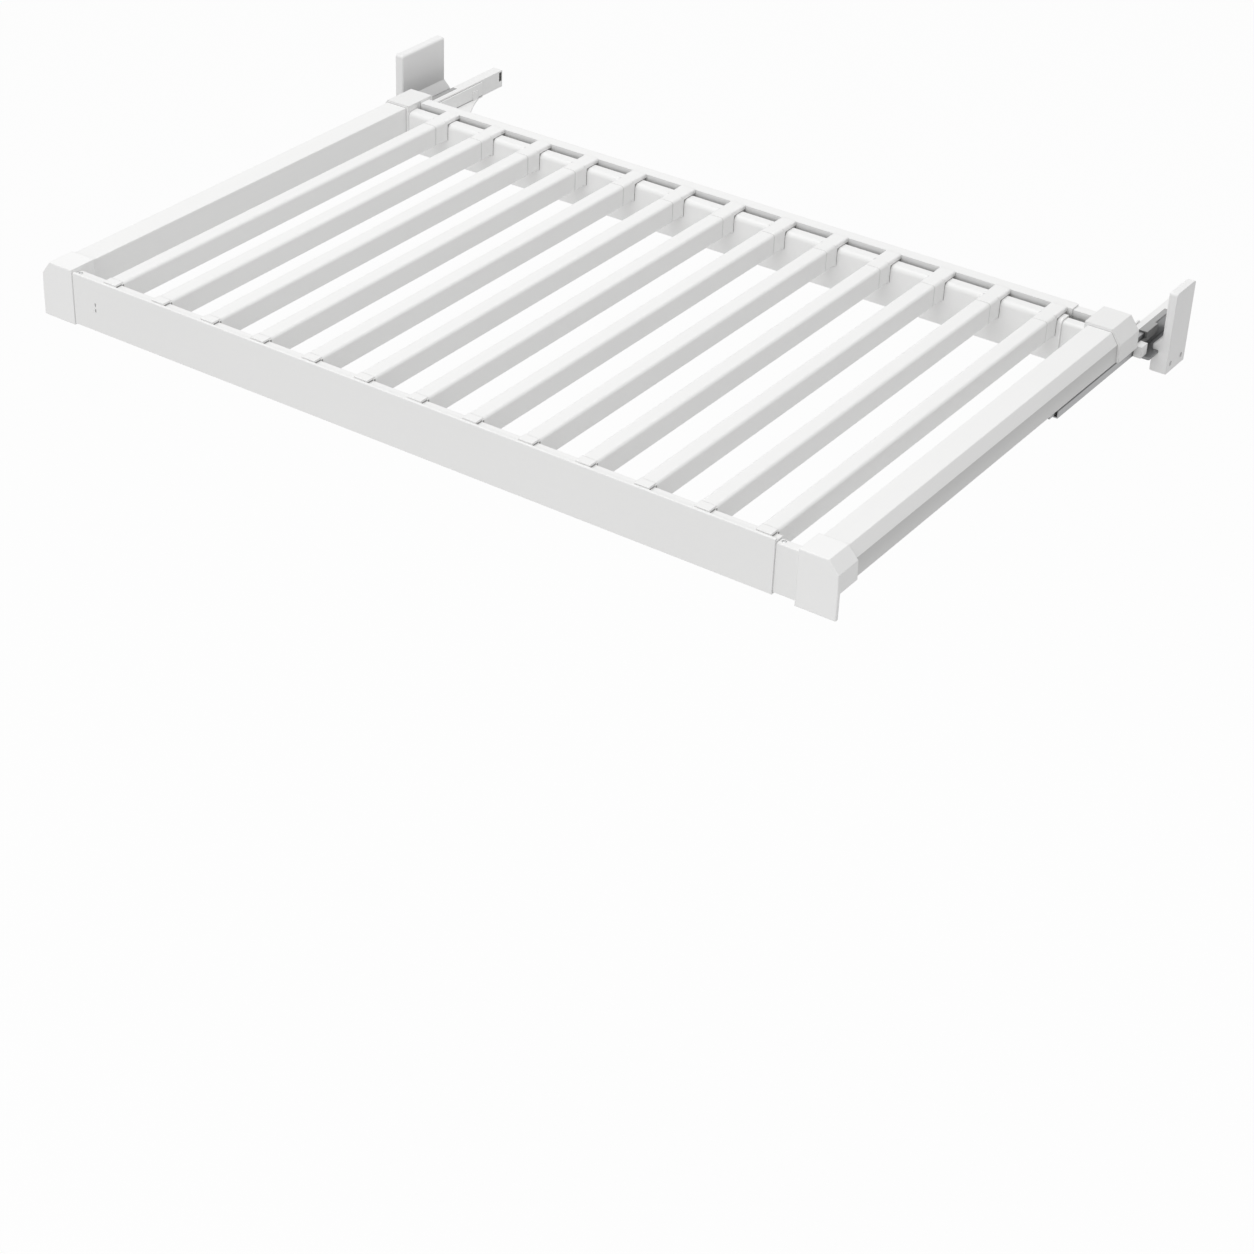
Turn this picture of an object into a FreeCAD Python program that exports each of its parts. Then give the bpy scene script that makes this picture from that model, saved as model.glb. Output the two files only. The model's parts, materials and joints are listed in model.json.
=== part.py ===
"""Pull-out trouser rack: a frame that telescopes in width, thirteen trouser rods,
and a ball-bearing slide with a wall bracket on each side.

Modelling axes, in millimetres: X runs from the left cabinet wall to the right one,
Y runs from the front rail's face into the cabinet, and Z is 0 on top of the rails.
Left pieces are placed by u, the distance from the rack's outer face, and right ones
are their mirror images. export() moves every piece so that the origin lies on the
left cabinet wall, at the middle of the left bracket's two screw holes.
"""
import FreeCAD, Part
import math
import os

V = FreeCAD.Vector

# ---------------------------------------------------------------- overall sizes
rack_width = 766.0            # over the corner pieces, as it is set here
rack_depth = 477.0            # front rail's face to the back of the rear corner pieces
width_extension = 20.0        # how far the telescopic rails are drawn out here
left_side_gap = 23.0          # rack to left bracket plate
right_side_gap = 9.0          # rack to right bracket plate

# ---------------------------------------------------------------- clearances
slide_fit = 0.3               # a telescopic rail in its sleeve, and a spigot in its rail
seat_gap = 0.1                # pieces that are clipped or screwed together
saddle_gap = 0.45             # rod holder round the back bar
running_gap = 0.7             # rack passing over the fixed slide member
ball_play = 0.025             # each side of a ball
hole_clearance = 0.15         # round a screw
stop_gap = 1.0                # closed slide to its stop
over = 1.0                    # how far a cutting shape runs past what it cuts

# ---------------------------------------------------------------- front rail
front_rail_height = 46.2
front_rail_thickness = 10.6
front_lip = 2.6               # raised lip along the front edge
ledge_drop = 1.8              # ledge behind the lip lies this much lower
rail_radius = 0.8             # outer edges of the extruded rails
rail_wall = 1.2
inner_rail_overlap = 125.0    # length of telescopic rail left inside its sleeve
key_slot_width = 1.1          # two small slots in the front face, one above the other
key_slot_height = 3.0
key_slot_gap = 2.2
key_slot_from_seam = 24.0
key_slot_level = 24.5

# ---------------------------------------------------------------- back rail
back_bar_thickness = 12.5     # the bar that carries the rods
back_bar_drop = 3.5           # top of the bar below the top of the strip
back_slot_width = 5.3
back_strip_thickness = 12.3
back_strip_inset = 5.4        # strip in front of the rear corner's back
back_bar_radius = 4.5
back_floor = 1.4
sleeve_end_bevel = 5.0

# ---------------------------------------------------------------- side rails
side_rail_width = 31.0
side_rail_height = 42.0
side_shoulder = 9.3           # from the outer face to where the sloping facet starts
side_facet_drop = 9.5
side_facet_lean = 0.6         # facet's foot inside the skirt's foot
side_skirt_height = 25.2      # bottom of the outer wall
side_floor_height = 20.8      # underside of the upper chamber, over the slide
side_wall = 1.4

# ---------------------------------------------------------------- corner pieces
corner_width = 34.0
corner_proud = 2.4            # corner pieces stand this much outside the side rails
face_proud = 0.8              # front corners in front of the front rail, and below it
left_front_rise = 2.2         # top of each corner piece over the rails
right_front_rise = 0.6
rear_rise = 2.2
front_corner_depth = 26.0
corner_face = 3.0             # front plate of the front corners
corner_wall = 2.2
corner_radius = 1.0
spigot_length = 20.0

# ---------------------------------------------------------------- rods
rod_count = 13
rod_pitch = 52.3
first_rod = 38.5              # first rod's middle from the left seam
rod_width = 15.0
rod_height = 20.0
rod_rise = 0.8                # tops of the rods over the rails
rod_radius = 2.6
rod_wall = 1.1
bore_chamfer = 1.2            # corners of a rod's bore, and of what plugs into it
rod_plug = 12.0               # how far the end fittings reach into a rod
clip_flange = 1.6
clip_pad_width = 13.0
clip_pad_gap = 0.8            # pad behind the lip
clip_pad_radius = 0.6
holder_reach = 18.0           # holder in front of the back bar
holder_top_radius = 1.6
holder_front = 3.0            # saddle's wall before the back bar
holder_chamfer = 1.0          # round the end that meets the rod
holder_leg_depth = 12.0
holder_leg_gap = 0.45         # leg in front of the slot's rear wall, and behind the bar

# ---------------------------------------------------------------- slides
slide_lead = 131.0            # fixed members in front of the rear corners' backs
left_overhang = 132.0         # fixed members behind the rear corners
right_overhang = 100.0
moving_shortfall = 32.0       # middle and drawer members shorter than the fixed one
closed_travel = 20.0          # from this pose back to fully closed
slide_depth = 10.6
slide_height = 15.0
slide_metal = 1.0
middle_metal = 0.9
outer_ball = 1.8
inner_ball = 1.4
balls_per_row = 2
ball_spacing = 45.0
cage_metal = 0.5
cage_room = 1.4               # between two members' webs, for the cage
fixed_lip = 7.2               # width of the fixed member's flanges
middle_lip = 6.2
slide_corner = 0.8
slide_skirt_gap = 0.6         # fixed member inside the side rail's skirt

# ---------------------------------------------------------------- damper housings
housing_start = 3.0           # block behind the rear corners
housing_block_length = 11.0
housing_block_width = 6.8
housing_block_height = 10.0
housing_gap = 0.3             # beside the fixed member
housing_rib_width = 2.2       # rib that joins the block to the lid
housing_rib_height = 3.0
housing_lid = 1.4
housing_lap = 20.0            # rib alongside the lid
housing_cap = 3.0             # wall that closes the slide's rear end
housing_pocket_length = 4.0   # pocket in the inner side, at the rear end
housing_pocket_height = 9.0
housing_pocket_depth = 8.6
housing_pocket_rim = 0.8

# ---------------------------------------------------------------- gussets
gusset_metal = 1.6
left_gusset_length = 101.0    # behind the rear corners
right_gusset_length = 34.0
left_gusset_reach = 56.0      # along the back rail, from the corner piece
gusset_tip_width = 2.6
gusset_hollow = 0.16          # how far its edge bows in, of the way to the corner
gusset_shoulder = 2.0
right_lug_rise = 3.0          # end tab over the slide's top; the left one stands lower
left_lug_rise = -5.0
gusset_lug_length = 8.0
left_lug_inset = 8.0          # left tab in front of the flange's rear end
left_lug_proud = 1.2          # and inwards from the flange

# ---------------------------------------------------------------- wall brackets
bracket_plate = 8.0
bracket_start = 27.0          # behind the rear corners
left_bracket_length = 66.0
right_bracket_length = 35.0
bracket_height = 73.5
bracket_foot = 7.5            # foot beyond the plate, towards the rack
foot_above_strip = 3.8        # the toe; from there the foot slopes up to the plate
foot_below_strip = 17.0
bracket_radius = 2.4
bracket_hole_inset = 7.5      # wall screws from the foot's ends and underside
wall_hole_radius = 2.25
wall_head_radius = 4.5
wall_head_depth = 5.0
strip_lead = 17.0             # strip in front of the bracket
left_strip_length = 86.0
right_strip_length = 62.0
strip_metal = 2.5
strip_bite = 6.0              # strip inside the bracket's foot
strip_radius = 1.5

# ---------------------------------------------------------------- screws
screw_radius = 1.5
screw_head_radius = 2.6
screw_head_height = 1.4
small_screw_radius = 0.9
small_head_radius = 1.8
small_head_height = 0.6
small_screw_length = 6.0
slide_screw_radius = 0.8
slide_head_height = 0.8
slide_head_gap = 0.4          # slide screw's head to the drawer member's flanges
bite = 1.8                    # how far a screw reaches into its last wall
rivet_radius = 1.2
rivet_head_radius = 2.2
rivet_head_height = 0.9

# ---------------------------------------------------------------- derived places
left_x = bracket_plate + left_side_gap
right_x = left_x + rack_width
middle_x = (left_x + right_x) / 2
left_seam = left_x + corner_width
right_seam = right_x - corner_width
sleeve_end = right_seam - width_extension
inner_start = sleeve_end - inner_rail_overlap
nested = rail_wall + slide_fit          # telescopic rail's outside, from the sleeve's

back_strip_rear = rack_depth - back_strip_inset
back_strip_front = back_strip_rear - back_strip_thickness
back_bar_rear = back_strip_front - back_slot_width
back_bar_front = back_bar_rear - back_bar_thickness
back_rail_height = side_rail_height

slide_front = rack_depth - slide_lead
drawer_front = slide_front - closed_travel
middle_front = slide_front - closed_travel / 2
slide_top = -(side_floor_height + running_gap)
slide_bottom = slide_top - slide_height
slide_middle_z = (slide_top + slide_bottom) / 2
slide_outer = corner_proud + side_wall + slide_skirt_gap
slide_inner = slide_outer + slide_depth
middle_web = slide_outer + slide_metal + cage_room
drawer_tip = middle_web + middle_metal + cage_room
middle_height = slide_height - 2 * (slide_metal + outer_ball + 2 * ball_play)
drawer_height = middle_height - 2 * (middle_metal + inner_ball + 2 * ball_play)

skirt_floor = -side_skirt_height - running_gap   # what the corners pass over when closing
gusset_level = -side_rail_height
bracket_front = rack_depth + bracket_start
strip_bottom = slide_bottom - strip_metal
bracket_bottom = strip_bottom - foot_below_strip
bracket_top = bracket_bottom + bracket_height
foot_top = slide_bottom + foot_above_strip
wall_hole_z = bracket_bottom + bracket_hole_inset
left_hole_middle = bracket_front + left_bracket_length / 2

down, up = V(0, 0, -1), V(0, 0, 1)
inward = V(1, 0, 0)           # from the left cabinet wall to the rack


# ---------------------------------------------------------------- helpers
def box(x0, x1, y0, y1, z0, z1):
    """A block between two values on each axis, given in either order."""
    low = V(min(x0, x1), min(y0, y1), min(z0, z1))
    return Part.makeBox(abs(x1 - x0), abs(y1 - y0), abs(z1 - z0), low)


def drawn(corners, inset, run):
    """The outline of the corners, drawn in by inset, carried along run."""
    face = Part.Face(Part.makePolygon(corners + corners[:1]))
    if inset:
        face = face.makeOffset2D(-inset, 2)
    return face.extrude(run)


def along_y(points, y0, y1, inset=0):
    """A profile of (x, z) points carried from y0 to y1."""
    return drawn([V(x, y0, z) for x, z in points], inset, V(0, y1 - y0, 0))


def along_x(points, x0, x1, inset=0):
    """A profile of (y, z) points carried from x0 to x1."""
    return drawn([V(x0, y, z) for y, z in points], inset, V(x1 - x0, 0, 0))


def solid(shape):
    """One clean solid."""
    clean = shape.removeSplitter()
    if len(clean.Solids) != 1:
        raise ValueError("a piece came out as %d solids" % len(clean.Solids))
    return clean.Solids[0]


def fuse(first, *others):
    """Several shapes joined into one solid."""
    for other in others:
        first = first.fuse(other)
    return solid(first)


def edges_where(shape, test):
    """The straight edges whose two ends pass a test."""
    found = []
    for edge in shape.Edges:
        if len(edge.Vertexes) == 2 and isinstance(edge.Curve, Part.Line):
            a, b = (vertex.Point for vertex in edge.Vertexes)
            if test(a, b):
                found.append(edge)
    return found


def near(value, target):
    """True where two lengths agree."""
    return abs(value - target) < 0.01


def runs_along(a, b, axis):
    """True where the line from a to b is parallel to an axis."""
    step = b - a
    return near(abs(step.dot(axis)), step.Length)


def rounded_along(shape, axis, radius, test=None):
    """The shape with the edges that run along an axis, and pass a test, rounded."""
    edges = edges_where(shape, lambda a, b: runs_along(a, b, axis) and (test is None or test(a, b)))
    return shape.makeFillet(radius, edges)


def place_side(shape, side):
    """Left pieces stay, right pieces are mirrored in the rack's middle plane."""
    return shape if side == "left" else shape.mirror(V(middle_x, 0, 0), V(1, 0, 0))


def from_face(points):
    """(u, z) points measured from the rack's outer face, as (x, z) points."""
    return [(left_x + u, z) for u, z in points]


def export(name, pieces):
    """Write one node, with the origin moved to the left bracket's wall screws."""
    shape = Part.makeCompound(pieces) if len(pieces) > 1 else pieces[0].copy()
    shape.translate(V(0, -left_hole_middle, -wall_hole_z))
    shape.exportStep("parts/%s.step" % name)


# ---------------------------------------------------------------- screws
def screw(head, direction, length, radius=screw_radius, head_radius=screw_head_radius,
          head_height=screw_head_height):
    """A screw whose head stands on the point head and whose shank runs along direction."""
    cap = Part.makeCylinder(head_radius, head_height, head, direction * -1)
    return fuse(cap, Part.makeCylinder(radius, length, head, direction))


def screw_hole(head, direction, length, radius=screw_radius):
    """What a screw's shank needs."""
    return Part.makeCylinder(radius + hole_clearance, length + over + hole_clearance,
                             head - direction * over, direction)


def ledge_screw(head):
    """The small self-tapping screw that holds a front rail on its spigot."""
    return screw(head, down, small_screw_length, small_screw_radius,
                 small_head_radius, small_head_height)


def ledge_hole(head):
    """What the ledge screw's shank needs."""
    return screw_hole(head, down, small_screw_length, small_screw_radius)


ledge_screw_y = (front_lip + front_rail_thickness) / 2
left_ledge_screw = V(left_seam + 2 * small_head_radius, ledge_screw_y, -ledge_drop)
right_ledge_screw = V(sleeve_end + 2 * small_head_radius, ledge_screw_y,
                      -ledge_drop - nested - small_head_height)
lock_screw_x = sleeve_end - 5 * screw_head_radius
lock_screw_length = nested - seat_gap
front_lock_screw = V(lock_screw_x, front_rail_thickness / 2, -front_rail_height)
back_lock_screw = V(lock_screw_x, back_bar_front + back_bar_thickness / 2, -back_rail_height)

slide_screw_places = [drawer_front + spigot_length, back_bar_front - 1.6 * spigot_length]
slide_screw_length = slide_metal + side_wall + bite
slide_head_radius = drawer_height / 2 - slide_metal - slide_head_gap
gusset_screw_length = gusset_metal + rail_wall + bite


def slide_rear(side):
    """Rear end of the fixed slide member."""
    return rack_depth + (left_overhang if side == "left" else right_overhang)


def moving_length(side):
    """Length of the middle and the drawer member."""
    return slide_rear(side) - slide_front - moving_shortfall


def slide_screw_points():
    """Where the drawer member is screwed to the left side rail."""
    return [V(left_x + slide_inner - slide_metal, y, slide_middle_z) for y in slide_screw_places]


def gusset_reach(side):
    """How far a gusset runs inwards from the rack's outer face."""
    return corner_width + (left_gusset_reach if side == "left" else 0)


def gusset_screw_points(side):
    """Where a gusset is screwed up into the rear corner and, on the left, into the back rail."""
    y = back_strip_front + back_strip_thickness / 2
    z = gusset_level - gusset_metal
    places = [slide_inner + 2.8 * screw_head_radius]
    if side == "left":
        places.append(gusset_reach(side) - 3.4 * screw_head_radius)
    return [V(left_x + u, y, z) for u in places]


# ---------------------------------------------------------------- front rail
lip_profile = [(0, 0), (front_lip, 0), (front_lip, -ledge_drop),
               (front_rail_thickness, -ledge_drop), (front_rail_thickness, -front_rail_height),
               (0, -front_rail_height)]
front_box_profile = [(0, -ledge_drop), (front_rail_thickness, -ledge_drop),
                     (front_rail_thickness, -front_rail_height), (0, -front_rail_height)]


def on_front(a, b):
    """True for an edge in the front rail's face."""
    return near(a.y, 0) and near(b.y, 0)


def front_rail_sleeve():
    """Outer front rail: hollow, with a rounded lip, open at both ends."""
    body = along_x(lip_profile, left_seam, sleeve_end)
    body = rounded_along(body, V(1, 0, 0), rail_radius, on_front)
    body = body.cut(front_box(left_seam - over, sleeve_end + over, rail_wall))
    slot_x = left_seam + key_slot_from_seam
    for bottom in (key_slot_gap / 2, -key_slot_gap / 2 - key_slot_height):
        body = body.cut(box(slot_x - key_slot_width / 2, slot_x + key_slot_width / 2, -over,
                            rail_wall + over, bottom - key_slot_level,
                            bottom - key_slot_level + key_slot_height))
    body = body.cut(ledge_hole(left_ledge_screw))
    return solid(body.cut(screw_hole(front_lock_screw, up, lock_screw_length)))


def front_box(x0, x1, inset=0):
    """The front rail's section below its lip, drawn in by inset."""
    return along_x(front_box_profile, x0, x1, inset)


def front_rail_inner():
    """Telescopic front rail that slides in the sleeve and ends at the right corner."""
    body = front_box(inner_start, right_seam, nested)
    body = rounded_along(body, V(1, 0, 0), rail_radius, lambda a, b: near(a.y, nested))
    body = body.cut(front_box(inner_start - over, right_seam + over, nested + rail_wall))
    recess = Part.makeCylinder(small_head_radius + hole_clearance, small_head_height + over,
                               right_ledge_screw, up)
    return solid(body.cut(recess).cut(ledge_hole(right_ledge_screw)))


# ---------------------------------------------------------------- back rail
back_bar_profile = [(back_bar_front, -back_bar_drop), (back_bar_rear, -back_bar_drop),
                    (back_bar_rear, -back_rail_height), (back_bar_front, -back_rail_height)]
back_strip_profile = [(back_strip_front, 0), (back_strip_rear, 0),
                      (back_strip_rear, -back_rail_height), (back_strip_front, -back_rail_height)]


def back_bar(x0, x1, inset=0):
    """The bar that carries the rods, with its rounded top edge, drawn in by inset."""
    bar = along_x(back_bar_profile, x0, x1, inset)
    return rounded_along(bar, V(1, 0, 0), back_bar_radius - inset,
                         lambda a, b: near(a.y, back_bar_front + inset)
                         and near(a.z, -back_bar_drop - inset))


def back_strip(x0, x1, inset=0):
    """The flat strip behind the bar, drawn in by inset."""
    return along_x(back_strip_profile, x0, x1, inset)


def end_bevel():
    """The wedge taken off the rear edge of the sleeve's right end."""
    corners = [V(sleeve_end - sleeve_end_bevel, back_strip_rear, over),
               V(sleeve_end, back_strip_rear, over),
               V(sleeve_end, back_strip_rear - rail_wall, over)]
    return drawn(corners, 0, V(0, 0, -back_rail_height - 2 * over))


def back_rail_sleeve():
    """Outer back rail: a hollow bar and a hollow strip joined by a floor."""
    strip = rounded_along(back_strip(left_seam, sleeve_end), V(1, 0, 0), rail_radius,
                          lambda a, b: near(a.y, back_strip_rear) and near(a.z, 0))
    floor = box(left_seam, sleeve_end, back_bar_rear - rail_wall, back_strip_front + rail_wall,
                -back_rail_height, -back_rail_height + back_floor)
    body = back_bar(left_seam, sleeve_end).fuse(floor).fuse(strip)
    for chamber in (back_bar, back_strip):
        body = body.cut(chamber(left_seam - over, sleeve_end + over, rail_wall))
    body = body.cut(end_bevel())
    body = body.cut(screw_hole(back_lock_screw, up, lock_screw_length))
    return solid(body.cut(screw_hole(gusset_screw_points("left")[1], up, gusset_screw_length)))


def back_inner(shape):
    """A telescopic back rail: one hollow bar inside one chamber of the sleeve."""
    body = shape(inner_start, right_seam, nested)
    return solid(body.cut(shape(inner_start - over, right_seam + over, nested + rail_wall)))


# ---------------------------------------------------------------- side rails
def side_profile(outer, top, inner):
    """Outline of the side rail, or of a corner piece that stands proud of it, in (u, z).

    The upper part overhangs the slide as a hood; the lower part stands inside it.
    """
    return [(inner, top), (side_shoulder, top),
            (outer + side_facet_lean, -side_facet_drop), (outer, -side_skirt_height),
            (corner_proud + side_wall, -side_skirt_height),
            (corner_proud + side_wall, -side_floor_height), (slide_inner, -side_floor_height),
            (slide_inner, -side_rail_height), (inner, -side_rail_height)]


upper_chamber = [(side_rail_width, 0), (side_shoulder, 0),
                 (corner_proud + side_facet_lean, -side_facet_drop),
                 (corner_proud, -side_floor_height + side_wall),
                 (side_rail_width, -side_floor_height + side_wall)]
lower_chamber = [(slide_inner, -side_floor_height + side_wall),
                 (side_rail_width, -side_floor_height + side_wall),
                 (side_rail_width, -side_rail_height), (slide_inner, -side_rail_height)]


def side_rail(side):
    """Extruded side rail with two chambers, between the corner pieces."""
    y0, y1 = front_corner_depth, back_bar_front
    body = along_y(from_face(side_profile(corner_proud, 0, side_rail_width)), y0, y1)
    shoulder, rim = left_x + side_shoulder, left_x + side_rail_width
    body = rounded_along(body, V(0, 1, 0), rail_radius,
                         lambda a, b: near(a.z, 0) and (near(a.x, shoulder) or near(a.x, rim)))
    for chamber in (upper_chamber, lower_chamber):
        body = body.cut(along_y(from_face(chamber), y0 - over, y1 + over, side_wall))
    for point in slide_screw_points():
        body = body.cut(screw_hole(point, inward, slide_screw_length, slide_screw_radius))
    return place_side(solid(body), side)


# ---------------------------------------------------------------- corner pieces
corner_front = -face_proud
corner_bottom = -front_rail_height - face_proud


def corner_block(y0, y1, rise):
    """A length of a corner piece: the side rail's outline, stood proud and wider inwards."""
    return along_y(from_face(side_profile(0, rise, corner_width)), y0, y1)


def side_spigots(y0, y1):
    """The two blocks that plug into a side rail's chambers."""
    return [along_y(from_face(chamber), y0, y1, side_wall + slide_fit)
            for chamber in (upper_chamber, lower_chamber)]


def rail_spigot(shape, side):
    """The block that plugs into a cross rail: a sleeve on the left, a telescopic rail on the right."""
    inset = nested if side == "left" else 2 * nested
    return shape(left_seam - over, left_seam + spigot_length, inset)


def outer_run(body, y):
    """The edges at y that run over a corner piece's top and down its outer side."""
    def outside(a, b):
        over_top = min(a.z, b.z) > -side_facet_drop - over
        down_side = max(a.x, b.x) < left_x + side_facet_lean + over and min(a.z, b.z) > corner_bottom - over
        return near(a.y, y) and near(b.y, y) and (over_top or down_side)
    return edges_where(body, outside)


def corner_hollow(y0, y1):
    """The moulding's hollow underside, open downwards in its inner part."""
    return box(left_x + slide_inner + corner_wall, left_x + corner_width - corner_wall, y0, y1,
               corner_bottom - over, -side_floor_height - corner_wall)


def front_corner(side):
    """Front corner: face plate, hood-shaped cheek and spigots for both rails."""
    rise = left_front_rise if side == "left" else right_front_rise
    cheek = corner_block(corner_front + corner_face / 2, front_corner_depth, rise)
    face = along_y(from_face([(corner_width, rise), (side_shoulder, rise),
                              (side_facet_lean, -side_facet_drop), (0, -side_skirt_height),
                              (0, corner_bottom), (corner_width, corner_bottom)]),
                   corner_front, corner_front + corner_face)
    face = face.makeFillet(corner_radius, outer_run(face, corner_front))
    fill_rear = front_rail_thickness + corner_wall
    fill = box(left_x + slide_inner, left_x + corner_width, corner_front + corner_face / 2,
               fill_rear, corner_bottom, -side_floor_height)
    body = cheek.fuse(face).fuse(fill)
    body = body.cut(corner_hollow(fill_rear, front_corner_depth - corner_wall))
    spigots = side_spigots(front_corner_depth - over, front_corner_depth + spigot_length)
    body = place_side(fuse(body, rail_spigot(front_box, side), *spigots), side)
    return solid(body.cut(ledge_hole(left_ledge_screw if side == "left" else right_ledge_screw)))


def rear_corner(side):
    """Rear corner: hood-shaped moulding with spigots for the side and back rails."""
    body = corner_block(back_bar_front, rack_depth, rear_rise)
    body = body.makeFillet(corner_radius, outer_run(body, rack_depth))
    body = body.cut(corner_hollow(back_bar_front + corner_wall, back_strip_front - corner_wall))
    spigots = side_spigots(back_bar_front + over, back_bar_front - spigot_length)
    body = fuse(body, rail_spigot(back_bar, side), rail_spigot(back_strip, side), *spigots)
    for point in gusset_screw_points(side):
        body = body.cut(screw_hole(point, up, gusset_screw_length))
    return place_side(solid(body), side)


# ---------------------------------------------------------------- rods
rod_front = front_rail_thickness + clip_flange + 2 * seat_gap
rod_rear = back_bar_front - saddle_gap - holder_reach
rod_bottom = rod_rise - rod_height


def rod_x(index):
    """Middle of a rod, from the left wall."""
    return left_seam + first_rod + index * rod_pitch


def rod_outline(x):
    """The rod's outer rectangle, as (x, z) points."""
    half = rod_width / 2
    return [(x - half, rod_rise), (x + half, rod_rise), (x + half, rod_bottom), (x - half, rod_bottom)]


def rod_bar(x, y0, y1):
    """A bar with the rod's rounded section."""
    return rounded_along(along_y(rod_outline(x), y0, y1), V(0, 1, 0), rod_radius)


def rod_core(x, y0, y1, inset):
    """A bar with bevelled corners inside the rod's section: the rod's bore, or a plug in it."""
    block = along_y(rod_outline(x), y0, y1, inset)
    return block.makeChamfer(bore_chamfer,
                             edges_where(block, lambda a, b: runs_along(a, b, V(0, 1, 0))))


def rod(index):
    """A hollow rod, open at both ends."""
    x = rod_x(index)
    tube = rod_bar(x, rod_front, rod_rear - seat_gap)
    return solid(tube.cut(rod_core(x, rod_front - over, rod_rear + over, rod_wall)))


def rod_front_clip(index):
    """Front fitting: a pad on the ledge, a flange behind the rail, a plug in the rod."""
    x = rod_x(index)
    flange_front = front_rail_thickness + seat_gap
    flange_rear = flange_front + clip_flange
    pad_front = front_lip + clip_pad_gap
    pad = box(x - clip_pad_width / 2, x + clip_pad_width / 2, pad_front, flange_rear,
              -ledge_drop, rod_rise)
    pad = rounded_along(pad, V(1, 0, 0), clip_pad_radius,
                        lambda a, b: near(a.y, pad_front) and near(a.z, rod_rise))
    return fuse(rod_bar(x, flange_front, flange_rear), pad,
                rod_core(x, flange_front, rod_front + rod_plug, rod_wall + seat_gap))


def rod_holder(index):
    """Rear fitting: a plug in the rod, a block, and a saddle over the back bar."""
    x = rod_x(index)
    half = rod_width / 2
    rear = back_strip_front - holder_leg_gap
    saddle_front = back_bar_front - saddle_gap - holder_front
    saddle = box(x - half, x + half, saddle_front, rear, rod_bottom, rod_rise)
    saddle = rounded_along(saddle, V(0, 1, 0), holder_top_radius, lambda a, b: near(a.z, rod_rise))
    room = along_x([(back_bar_front - saddle_gap, -back_bar_drop + saddle_gap),
                    (back_bar_rear + holder_leg_gap, -back_bar_drop + saddle_gap),
                    (back_bar_rear + holder_leg_gap, -rod_height - over),
                    (back_bar_front - saddle_gap, -rod_height - over)],
                   x - half - over, x + half + over)
    room = rounded_along(room, V(1, 0, 0), back_bar_radius + saddle_gap,
                         lambda a, b: near(a.y, back_bar_front - saddle_gap)
                         and near(a.z, -back_bar_drop + saddle_gap))
    leg_end = box(x - half - over, x + half + over, back_bar_rear, back_strip_front,
                  -holder_leg_depth, -rod_height - over)
    saddle = saddle.cut(room).cut(leg_end)
    block = rod_bar(x, rod_rear, saddle_front + over)
    block = block.makeChamfer(holder_chamfer,
                              edges_where(block, lambda a, b: near(a.y, rod_rear) and near(b.y, rod_rear)))
    return fuse(block, saddle,
                rod_core(x, rod_rear - rod_plug, rod_rear + over, rod_wall + seat_gap))


# ---------------------------------------------------------------- slides
def channel(u_web, u_open, height, metal, y0, y1, corner):
    """A C section on the slide's middle line: a web at u_web and flanges that reach to u_open."""
    z0, z1 = slide_middle_z - height / 2, slide_middle_z + height / 2
    outside = box(left_x + u_web, left_x + u_open, y0, y1, z0, z1)
    outside = rounded_along(outside, V(0, 1, 0), corner, lambda a, b: near(a.x, left_x + u_web))
    step = math.copysign(metal, u_open - u_web)
    beyond = u_open + math.copysign(over, u_open - u_web)
    return outside.cut(box(left_x + u_web + step, left_x + beyond, y0 - over, y1 + over,
                           z0 + metal, z1 - metal))


def slide_cabinet(side):
    """Fixed slide member, open towards the rack."""
    body = channel(slide_outer, slide_outer + fixed_lip, slide_height, slide_metal,
                   slide_front, slide_rear(side), slide_corner)
    for point in strip_rivet_points(side):
        body = body.cut(screw_hole(point, up, strip_rivet_length, rivet_radius))
    return place_side(solid(body), side)


def slide_middle(side):
    """Middle slide member, between the two rows of balls."""
    body = channel(middle_web, middle_web + middle_lip, middle_height, middle_metal,
                   middle_front, middle_front + moving_length(side), slide_corner / 2)
    return place_side(solid(body), side)


def slide_drawer(side):
    """Drawer slide member, screwed to the side rail and carrying the gusset."""
    body = channel(slide_inner, drawer_tip, drawer_height, slide_metal,
                   drawer_front, drawer_front + moving_length(side), slide_corner / 2)
    for point in slide_screw_points():
        body = body.cut(screw_hole(point, inward, slide_screw_length, slide_screw_radius))
    return place_side(solid(body), side)


def ball_bearing(radius, centre):
    """A ball, simplified to a turned octagon that touches both races."""
    band = radius * math.tan(math.pi / 8)
    outline = [V(0, 0, -radius), V(band, 0, -radius), V(radius, 0, -band), V(radius, 0, band),
               V(band, 0, radius), V(0, 0, radius)]
    face = Part.Face(Part.makePolygon(outline + outline[:1]))
    turned = face.revolve(V(0, 0, 0), up, 360)
    turned.translate(centre)
    return turned


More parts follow.
